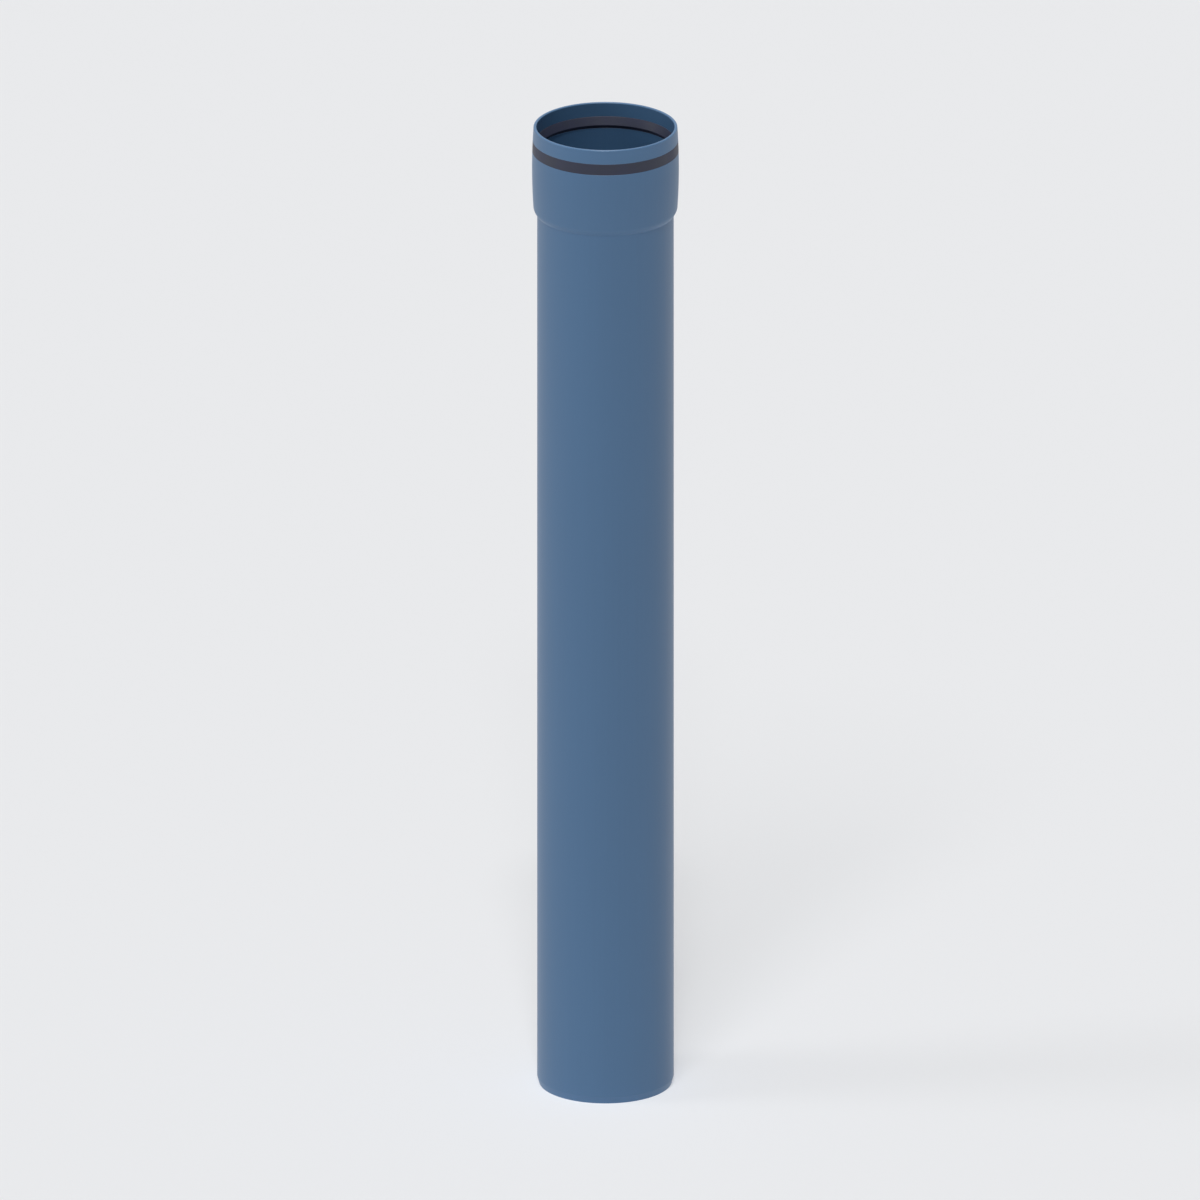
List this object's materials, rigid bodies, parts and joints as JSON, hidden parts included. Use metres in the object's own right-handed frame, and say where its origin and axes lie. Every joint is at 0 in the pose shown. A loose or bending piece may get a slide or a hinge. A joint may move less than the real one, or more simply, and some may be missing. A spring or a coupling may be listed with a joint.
{
  "type": "plastic sewer pipe",
  "caption": "Plain-ended plastic drain pipe with a belled push-fit socket, a retaining ring at its mouth and a black rubber lip seal, standing upright.",
  "frame": {"origin": "centre of the plain end's face, which the pipe stands on", "axes": "+Z along the pipe's axis, from the plain end to the socket's mouth; +X and +Y are across it, and the pipe is the same all the way round"},
  "size_m": [0.1182, 0.1182, 0.818],
  "materials": {
    "blue_plastic": "satin",
    "blue_plastic_ring": "satin",
    "seal_rubber": "matte"
  },
  "bodies": {
    "root": {"pipe": "blue_plastic", "retaining_ring": "blue_plastic_ring", "lip_seal": "seal_rubber"}
  },
  "joints": []
}
